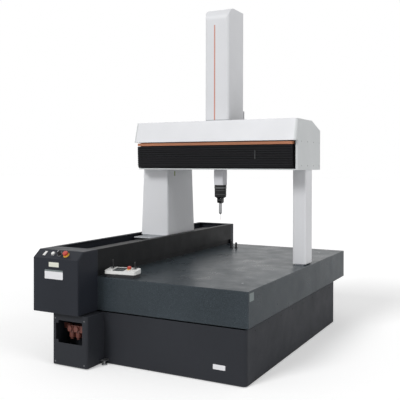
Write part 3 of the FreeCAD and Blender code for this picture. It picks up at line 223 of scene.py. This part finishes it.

# The eighth value of a finish is the amount of painted edge highlight and wear
FINISHES = {
    "granite": finish("lapped granite", (54, 61, 66), 0.26, 0.38, 1400, 0.05, 0.1, 0.5, crystals=420, **STONE_GLOSS),
    "dark_panel": finish("powder coated panel", (41, 43, 48), 0.5, 0.62, 1600, 0.35, 0.06, 0.5, **SOFT_GLOSS),
    "cover_dark": finish("dark guide cover", (34, 37, 44), 0.42, 0.55, 1500, 0.25, 0.07, 0.55, **SOFT_GLOSS),
    "cover_light": finish("off-white enamel", (217, 218, 221), 0.38, 0.5, 500, 0.08, 0.02, 0.15),
    "cover_grey": finish("light grey enamel", (200, 203, 204), 0.4, 0.52, 500, 0.08, 0.03, 0.15),
    "frame_steel": finish("welded frame paint", (52, 53, 57), 0.5, 0.7, 300, 0.4, 0.1, 0.5),
    "machined_steel": finish("ground steel", (165, 166, 168), 0.25, 0.4, 1500, 0.1, 0.05, Metallic=0.9,
                             stretch=ALONG_Y),
    "insert_steel": finish("stainless insert", (180, 181, 183), 0.25, 0.4, 1800, 0.1, 0.04, Metallic=0.95),
    "bearing_pad": finish("anodised pad", (160, 162, 168), 0.35, 0.5, 1200, 0.1, 0.05, Metallic=0.7),
    "guideway": finish("ground ceramic", (214, 214, 219), 0.3, 0.42, 1200, 0.05, 0.02, stretch=ALONG_Z),
    "structure": finish("machined aluminium", (160, 163, 166), 0.35, 0.5, 900, 0.15, 0.05, Metallic=0.8,
                        stretch=ALONG_Y),
    "rubber_black": finish("damping rubber", (26, 26, 27), 0.7, 0.85, 700, 0.4, 0.1),
    "orange_paint": finish("orange accent paint", (236, 158, 118), 0.35, 0.45, 800, 0.06, 0.05, 0.2),
    "black_plastic": finish("moulded black ribs", (22, 22, 25), 0.38, 0.5, 1400, 0.2, 0.08, 0.4, **SOFT_GLOSS),
    "bellows_fabric": finish("coated bellows cloth", (34, 34, 36), 0.6, 0.8, 1100, 0.5, 0.1),
    "red_plastic": finish("red button plastic", (186, 58, 44), 0.25, 0.38, 900, 0.05, 0.05, Coat_Weight=0.3),
    "yellow_plastic": finish("yellow collar plastic", (238, 184, 66), 0.35, 0.45, 900, 0.08, 0.04),
    "white_plastic": finish("white moulded case", (230, 230, 228), 0.4, 0.52, 1500, 0.18, 0.02, 0.1),
    "dark_plastic": finish("dark moulded plastic", (34, 34, 37), 0.45, 0.6, 1500, 0.25, 0.08, 0.3),
    "head_metal": finish("black anodised head", (28, 28, 29), 0.3, 0.42, 1200, 0.1, 0.08, 0.5, Metallic=0.5),
    "ring_metal": finish("grey anodised ring", (96, 97, 98), 0.3, 0.42, 1200, 0.1, 0.05, Metallic=0.6),
    "ruby": finish("ruby", (150, 12, 34), 0.05, 0.1, 900, 0.01, 0.05, Coat_Weight=0.6),
    "filter_body": finish("brown filter moulding", (112, 62, 52), 0.4, 0.55, 900, 0.15, 0.12, 0.4),
}
# Near-black finish of the guide's inner wall: painted shade, for the shadow inside the trough and under the wall
INNER_WALL_SHADE = finish("guide wall painted shade", (18, 19, 21), 0.45, 0.58, 1500, 0.25, 0.07, 0.5, **SOFT_GLOSS)
BAND_CLOTH = finish("black dust band", (24, 24, 26), 0.55, 0.7, 1300, 0.4, 0.1, stretch=ALONG_Y)
STRIPE_COPPER = finish("copper column stripe", (198, 136, 120), 0.35, 0.45, 800, 0.06, 0.05)
SCREW_STEEL = finish("screw steel", (120, 121, 123), 0.3, 0.45, 1800, 0.1, 0.05, Metallic=0.9)
SCREW_BLACK = finish("blackened screw", (30, 30, 31), 0.4, 0.55, 1800, 0.1, 0.05, Metallic=0.5)
PLATE_WHITE = finish("bare white plate", (224, 224, 227), 0.3, 0.42, 1200, 0.04, 0.02)
PLATE_CREAM = finish("bare cream plate", (218, 218, 205), 0.3, 0.42, 1200, 0.04, 0.02)
PLATE_GREY = finish("bare grey plate", (112, 122, 122), 0.4, 0.5, 1200, 0.05, 0.05)
PLATE_GREEN = finish("bare green tag", (146, 156, 110), 0.4, 0.5, 1200, 0.05, 0.05)
BLACK_RUBBER = finish("joystick boot rubber", (22, 22, 23), 0.6, 0.75, 900, 0.3, 0.1)

# guide_inner_wall takes the near-black painted-shade finish in place of its own slot
OWN_FINISH = {"y_dust_band": BAND_CLOTH, "column_stripe": STRIPE_COPPER, "guide_inner_wall": INNER_WALL_SHADE}
for subpart in frame["record"]["subparts"]:
    node_name = subpart["node"]
    chosen = OWN_FINISH.get(node_name, FINISHES[subpart["material_slot"]])
    slots = nodes[node_name].data.materials
    slots.clear()
    slots.append(chosen)

# ---------------------------------------------------------------- ways of making a piece


def settle(mesh_builder, name, material, body, place=None, smooth=False):
    """Finish a bmesh as a piece at the origin, with its place in its mesh, and ride it on its body."""
    bmesh.ops.remove_doubles(mesh_builder, verts=mesh_builder.verts, dist=1e-6)
    bmesh.ops.recalc_face_normals(mesh_builder, faces=mesh_builder.faces)
    if place is not None:
        bmesh.ops.transform(mesh_builder, matrix=place, verts=mesh_builder.verts)
    data = bpy.data.meshes.new(name)
    mesh_builder.to_mesh(data)
    mesh_builder.free()
    for polygon in data.polygons:
        polygon.use_smooth = smooth
    data.materials.append(material)
    piece = bpy.data.objects.new(name, data)
    bpy.context.collection.objects.link(piece)
    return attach(piece, body)


def slab(name, size, place, material, body, corner=0.004, round_over=0.0003):
    """Thin plate lying on local z = 0, with rounded corners and a softened upper edge."""
    build = bmesh.new()
    bmesh.ops.create_cube(build, size=1.0)
    bmesh.ops.scale(build, vec=size, verts=build.verts)
    bmesh.ops.translate(build, vec=(0, 0, size[2] / 2), verts=build.verts)
    upright = [e for e in build.edges if abs(e.verts[0].co.z - e.verts[1].co.z) > size[2] / 2]
    bmesh.ops.bevel(build, geom=upright, offset=corner, segments=5, affect="EDGES", profile=0.5)
    rim = [e for e in build.edges if min(v.co.z for v in e.verts) > size[2] - 1e-6 and len(e.link_faces) == 2
           and abs(e.calc_face_angle(0.0)) > 1.0]
    bmesh.ops.bevel(build, geom=rim, offset=round_over, segments=2, affect="EDGES", profile=0.5)
    return settle(build, name, material, body, place)


def turned(name, profile, place, material, body, steps=48):
    """Body of revolution about local z from (radius, height) pairs, closed on the axis or as a ring."""
    build = bmesh.new()
    rings = []
    for radius, height in profile:
        angles = [2 * math.pi * i / steps for i in range(steps)]
        rings.append([build.verts.new((radius * math.cos(a), radius * math.sin(a), height)) for a in angles])
    for lower, upper in zip(rings, rings[1:] + rings[:1]):
        for i in range(steps):
            j = (i + 1) % steps
            build.faces.new((lower[i], lower[j], upper[j], upper[i]))
    bmesh.ops.dissolve_degenerate(build, dist=1e-7, edges=build.edges)
    return settle(build, name, material, body, place)


def repeat_tree(kind):
    """Row of screw heads or of slats from a start, a step and a count."""
    tree, given, out = new_group(
        kind + " row", "GeometryNodeTree",
        [("Start", "vector"), ("Step", "vector"), ("Count", "whole"), ("Size", "vector"), ("Turn", "vector"),
         ("Finish", "material")],
        [("Geometry", "geometry")],
    )
    line = add(tree, "GeometryNodeMeshLine", {
        "Count": given["Count"], "Start Location": given["Start"], "Offset": given["Step"],
    }, mode="OFFSET")
    if kind == "slat":
        shape = add(tree, "GeometryNodeMeshCube", {"Size": given["Size"]}).outputs["Mesh"]
    else:
        size = add(tree, "ShaderNodeSeparateXYZ", {0: given["Size"]}).outputs
        shape = add(tree, "GeometryNodeMeshCone", {
            "Vertices": 14, "Radius Top": size[1], "Radius Bottom": size[0], "Depth": size[2],
        }).outputs["Mesh"]
    spread = add(tree, "GeometryNodeInstanceOnPoints", {
        "Points": line.outputs["Mesh"], "Instance": shape, "Rotation": given["Turn"],
    })
    real = add(tree, "GeometryNodeRealizeInstances", {0: spread.outputs[0]})
    done = add(tree, "GeometryNodeSetMaterial", {0: real.outputs[0], "Material": given["Finish"]})
    tree.links.new(done.outputs[0], out["Geometry"])
    return tree


ROWS = {"screw": repeat_tree("screw"), "slat": repeat_tree("slat")}


def row(name, kind, start, step, count, size, material, body, turn=(0, 0, 0), place=None):
    """Make a row of like pieces as one plain mesh."""
    piece = bpy.data.objects.new(name, bpy.data.meshes.new(name))
    bpy.context.collection.objects.link(piece)
    modifier = piece.modifiers.new("row", "NODES")
    modifier.node_group = ROWS[kind]
    values = {"Start": start, "Step": step, "Count": count, "Size": size, "Turn": turn, "Finish": material}
    for item in ROWS[kind].interface.items_tree:
        if item.in_out == "INPUT":
            modifier[item.identifier] = values[item.name]
    evaluated = piece.evaluated_get(bpy.context.evaluated_depsgraph_get())
    plain = bpy.data.meshes.new_from_object(evaluated)
    piece.modifiers.clear()
    piece.data = plain
    if place is not None:
        plain.transform(place)
    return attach(piece, body)


def screws(name, start, step, count, facing, material, body, radius=0.005):
    """Row of low chamfered heads; facing names the side that they look to."""
    turns = {"front": (math.pi / 2, 0, 0), "rear": (-math.pi / 2, 0, 0), "right": (0, math.pi / 2, 0),
             "left": (0, -math.pi / 2, 0), "up": (0, 0, 0)}
    size = (radius, radius * 0.8, 0.002)
    return row(name, "screw", start, step, count, size, material, body, turns[facing])


FACES_FRONT = Matrix.Rotation(math.pi / 2, 4, "X")
FACES_RIGHT = Matrix.Rotation(math.pi / 2, 4, "Y")


def at(x, y, z):
    return Matrix.Translation((x, y, z))


# ---------------------------------------------------------------- bare plates

PLATE = 0.0006
cap_low, cap_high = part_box("guide_front_cap")
stand_low, stand_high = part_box("stand_front_panel")
stone_low, stone_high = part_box("granite_table")
leg_low, leg_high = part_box("main_leg_cover")

slab("cap_plate_upper", (0.094, 0.034, PLATE), at(-0.6265, cap_low.y, 0.7505) @ FACES_FRONT, PLATE_CREAM, "base")
slab("cap_plate_lower", (0.170, 0.056, PLATE), at(-0.627, cap_low.y, 0.672) @ FACES_FRONT, PLATE_WHITE, "base")
slab("cap_plate_header", (0.170, 0.010, PLATE), at(-0.627, cap_low.y, 0.7065) @ FACES_FRONT, PLATE_GREY, "base")
slab("stand_plate", (0.094, 0.034, PLATE), at(0.606, stand_low.y, 0.111) @ FACES_FRONT, PLATE_WHITE, "base")
slab("stone_plate", (0.056, 0.074, PLATE), at(stone_high.x, stone_low.y + 0.055, 0.602) @ FACES_RIGHT,
     PLATE_GREY, "base")
slab("leg_tag", (0.046, 0.022, PLATE), at(leg_high.x, 0.185, 1.405) @ FACES_RIGHT, PLATE_GREEN, "bridge")

# ---------------------------------------------------------------- controls on the sloping cap

SLOPE_ANGLE = math.atan2(0.055, 0.070)


def on_cap(x):
    return at(x, cap_low.y + 0.035, 0.8225) @ Matrix.Rotation(SLOPE_ANGLE, 4, "X")


BEZEL = [(0.0165, 0), (0.0205, 0), (0.0200, 0.0022), (0.0185, 0.003), (0.0165, 0.003)]
turned("power_button_bezel", BEZEL, on_cap(-0.659), FINISHES["ring_metal"], "base")
turned("selector_bezel", BEZEL, on_cap(-0.599), FINISHES["ring_metal"], "base")
row("selector_marks", "slat", (-0.018, 0.026, 0.0003), (0.018, 0.0, 0.0), 3, (0.0016, 0.005, 0.0006),
    PLATE_WHITE, "base", place=on_cap(-0.599))
slab("selector_pointer", (0.002, 0.016, 0.0004), on_cap(-0.599) @ at(0, 0.001, 0.034), PLATE_WHITE, "selector",
     corner=0.0008, round_over=0.0001)
slab("rocker_mark", (0.012, 0.0016, 0.0004), on_cap(-0.736) @ at(0, -0.012, 0.0047), PLATE_GREY, "power_rocker",
     corner=0.0006, round_over=0.0001)

# ---------------------------------------------------------------- hand box

CASE_CORNER = (-0.358, -1.081)
CASE_TURN = math.radians(8.4)
CASE_WIDTH, CASE_DEPTH = 0.255, 0.120
FACE_FRONT, FACE_REAR = 0.693, 0.705
FACE_TILT = math.atan2(FACE_REAR - FACE_FRONT, CASE_DEPTH)


def on_case(across, up, lift=0.0):
    """Place on the hand box's sloping face: across from its left, up from its front edge."""
    height = FACE_FRONT + (FACE_REAR - FACE_FRONT) * up / CASE_DEPTH
    corner = at(*CASE_CORNER, 0) @ Matrix.Rotation(CASE_TURN, 4, "Z")
    return corner @ at(across, up, height) @ Matrix.Rotation(FACE_TILT, 4, "X") @ at(0, 0, lift)


slab("keypad_plate", (0.088, 0.092, 0.0012), on_case(0.1085, 0.056), FINISHES["dark_plastic"], "hand_box", 0.006)
for side, across, up, length in (("left", 0.0585, 0.060, 0.096), ("right", 0.1988, 0.038, 0.056)):
    slab("case_ridge_" + side, (0.007, length, 0.006), on_case(across, up), FINISHES["white_plastic"],
         "hand_box", 0.0034, 0.0016)
for line in range(3):
    row("keys_%d" % (line + 1), "slat", (0.078, 0.026 + 0.018 * line, 0.0), (0.020, 0, 0), 4,
        (0.008, 0.006, 0.0028), PLATE_GREY, "hand_box",
        place=on_case(0, 0, 0.0017))
WELL_EDGE = [(0.0135, 0), (0.0165, 0), (0.0160, 0.0025), (0.0140, 0.003), (0.0135, 0.003)]
turned("right_well_ring", WELL_EDGE, on_case(0.214, 0.092), FINISHES["dark_plastic"], "hand_box")
turned("left_well_ring", [(r + 0.004, h) for r, h in WELL_EDGE], on_case(0.034, 0.088),
       FINISHES["dark_plastic"], "hand_box")
turned("stop_ring", [(0.0095, 0), (0.0185, 0), (0.0175, 0.0025), (0.0095, 0.0025)], on_case(0.176, 0.072),
       FINISHES["yellow_plastic"], "hand_box")
for side, across, up in (("left", 0.034, 0.088), ("right", 0.214, 0.092)):
    grip = [(0.0036, 0.030), (0.0052, 0.033), (0.0058, 0.040), (0.0056, 0.047), (0.0036, 0.050)]
    turned(side + "_stick_grip", grip, on_case(across, up), BLACK_RUBBER, side + "_stick", 32)

# ---------------------------------------------------------------- head

spindle_low, spindle_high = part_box("z_spindle")
axis_x = (spindle_low.x + spindle_high.x) / 2
axis_y = (spindle_low.y + spindle_high.y) / 2
rotor_low, rotor_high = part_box("head_rotor")
rotor_radius = (rotor_high.x - rotor_low.x) / 2
for number, height in enumerate((1.262, 1.228), 1):
    band = [(rotor_radius - 0.002, -0.0015), (rotor_radius + 0.0008, -0.0015), (rotor_radius + 0.0008, 0.0015),
            (rotor_radius - 0.002, 0.0015)]
    turned("head_band_%d" % number, band, at(axis_x, axis_y, height), FINISHES["ring_metal"], "head", 64)

# ---------------------------------------------------------------- bridge details

grille_low, grille_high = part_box("housing_grille")
end_low, end_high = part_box("housing_end_right")
rear_low, rear_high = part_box("housing_rear_cover")
slab("grille_lamp_strip", (0.005, 0.074, 0.0012), at(0.4297, grille_low.y, 1.571) @ FACES_FRONT,
     FINISHES["ring_metal"], "bridge", 0.002)
for label, height in (("low", end_low.z + 0.035), ("high", end_low.z + 0.235)):
    screws("end_cap_screws_" + label, (end_high.x, 0.02, height), (0, 0.16, 0), 4, "right", SCREW_STEEL,
           "bridge", 0.004)
screws("rear_cover_screws_low", (rear_low.x + 0.06, rear_high.y, rear_low.z + 0.02), (0.23, 0, 0), 7, "rear",
       SCREW_STEEL, "bridge")
screws("rear_cover_screws_high", (rear_low.x + 0.06, rear_high.y, rear_low.z + 0.32), (0.23, 0, 0), 7, "rear",
       SCREW_STEEL, "bridge")

# ---------------------------------------------------------------- bellows of the roof slot

FOLD_PITCH = 0.020
CLOTH = 0.0016


def bellows_cloth(name, node):
    """Folded strip across the bellows part's box, shown in place of that part."""
    low_corner, high_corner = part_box(node)
    folds = round((high_corner.x - low_corner.x) / FOLD_PITCH)
    half_pitch = (high_corner.x - low_corner.x) / folds / 2
    build = bmesh.new()
    sections = []
    for i in range(2 * folds + 1):
        x = low_corner.x + i * half_pitch
        top = high_corner.z if i % 2 else low_corner.z + CLOTH
        corners = ((low_corner.y, top), (high_corner.y, top), (high_corner.y, top - CLOTH), (low_corner.y, top - CLOTH))
        sections.append([build.verts.new((x, y, z)) for y, z in corners])
    for near, far in zip(sections, sections[1:]):
        for i in range(4):
            j = (i + 1) % 4
            build.faces.new((near[i], near[j], far[j], far[i]))
    build.faces.new(sections[0])
    build.faces.new(sections[-1][::-1])
    bmesh.ops.recalc_face_normals(build, faces=build.faces)
    data = bpy.data.meshes.new(name)
    build.to_mesh(data)
    build.free()
    data.materials.append(FINISHES["bellows_fabric"])
    piece = bpy.data.objects.new(name, data)
    bpy.context.collection.objects.link(piece)
    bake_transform(piece)
    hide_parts(node)


bellows_cloth("bellows_left_cloth", "bellows_left")
bellows_cloth("bellows_right_cloth", "bellows_right")

# ---------------------------------------------------------------- guide, stand and air unit details

band_low, band_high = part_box("y_dust_band")
air_low, air_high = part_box("air_unit_box")
back_low, back_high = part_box("stand_rear_panel")
side_low, side_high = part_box("stand_side_panels")
row("dust_band_ribs", "slat", ((band_low.x + band_high.x) / 2, band_low.y + 0.04, band_high.z - 0.004),
    (0, 0.035, 0), int((band_high.y - band_low.y - 0.08) / 0.035), (0.22, 0.004, 0.0016), BLACK_RUBBER, "base")
for label, height in (("low", 0.030), ("high", 0.350)):
    screws("air_box_screws_" + label, (air_low.x + 0.028, air_low.y, height),
           (air_high.x - air_low.x - 0.056, 0, 0), 2, "front", SCREW_STEEL, "base", 0.006)
    screws("stand_rear_screws_" + label, (back_low.x + 0.08, back_high.y, height),
           ((back_high.x - back_low.x - 0.16) / 5, 0, 0), 6, "rear", SCREW_BLACK, "base", 0.006)
    screws("stand_side_screws_" + label, (side_high.x, side_low.y + 0.1, height),
           (0, (side_high.y - side_low.y - 0.2) / 7, 0), 8, "right", SCREW_BLACK, "base", 0.006)

# ---------------------------------------------------------------- floor, light and camera


def floor():
    build = bmesh.new()
    bmesh.ops.create_grid(build, x_segments=1, y_segments=1, size=60.0)
    data = bpy.data.meshes.new("floor")
    build.to_mesh(data)
    build.free()
    material = bpy.data.materials.new("pale floor")
    material.use_nodes = True
    tree = material.node_tree
    shader = tree.nodes["Principled BSDF"]
    shader.inputs["Base Color"].default_value = (0.92, 0.92, 0.92, 1.0)
    shader.inputs["Roughness"].default_value = 0.9
    seen = add(tree, "ShaderNodeLightPath").outputs["Is Camera Ray"]
    glow = add(tree, "ShaderNodeMath", {0: seen, 1: 0.3}, operation="MULTIPLY")
    shader.inputs["Emission Color"].default_value = (1, 1, 1, 1)
    tree.links.new(glow.outputs[0], shader.inputs["Emission Strength"])
    data.materials.append(material)
    piece = bpy.data.objects.new("floor", data)
    bpy.context.collection.objects.link(piece)


def sun(name, direction, strength, softness):
    light = bpy.data.lights.new(name, "SUN")
    light.energy = strength
    light.angle = math.radians(softness)
    lamp = bpy.data.objects.new(name, light)
    lamp.rotation_euler = Vector(direction).to_track_quat("Z", "Y").to_euler()
    bpy.context.collection.objects.link(lamp)


def surroundings():
    """Even light on the object, and a white background where it is looked at or mirrored."""
    world = bpy.data.worlds.new("studio")
    bpy.context.scene.world = world
    world.use_nodes = True
    tree = world.node_tree
    tree.nodes.clear()
    path = add(tree, "ShaderNodeLightPath").outputs
    first = add(tree, "ShaderNodeMath", {0: path["Is Camera Ray"], 1: path["Is Glossy Ray"]}, operation="MAXIMUM")
    white = add(tree, "ShaderNodeMath", {0: first.outputs[0], 1: path["Is Transmission Ray"]}, operation="MAXIMUM")
    lit = add(tree, "ShaderNodeBackground", {"Color": (1, 1, 1, 1), "Strength": 0.42})
    seen = add(tree, "ShaderNodeBackground", {"Color": (1, 1, 1, 1), "Strength": 1.0})
    mixed = add(tree, "ShaderNodeMixShader", {0: white.outputs[0], 1: lit.outputs[0], 2: seen.outputs[0]})
    add(tree, "ShaderNodeOutputWorld", {"Surface": mixed.outputs[0]})


def camera():
    lens = bpy.data.cameras.new("camera")
    lens.lens = 57.6
    lens.sensor_width = 36.0
    lens.shift_y = -0.0733
    eye = bpy.data.objects.new("camera", lens)
    eye.location = (2.5115, -4.9764, 1.479)
    eye.rotation_euler = (math.radians(89.55), math.radians(-0.1), math.radians(27.84))
    bpy.context.collection.objects.link(eye)
    bpy.context.scene.camera = eye


floor()
sun("key", (-0.25, -0.8, 0.6), 1.55, 20)
sun("fill", (1.0, -0.2, 0.5), 0.62, 30)
surroundings()
camera()
bpy.context.scene.view_settings.view_transform = "Standard"
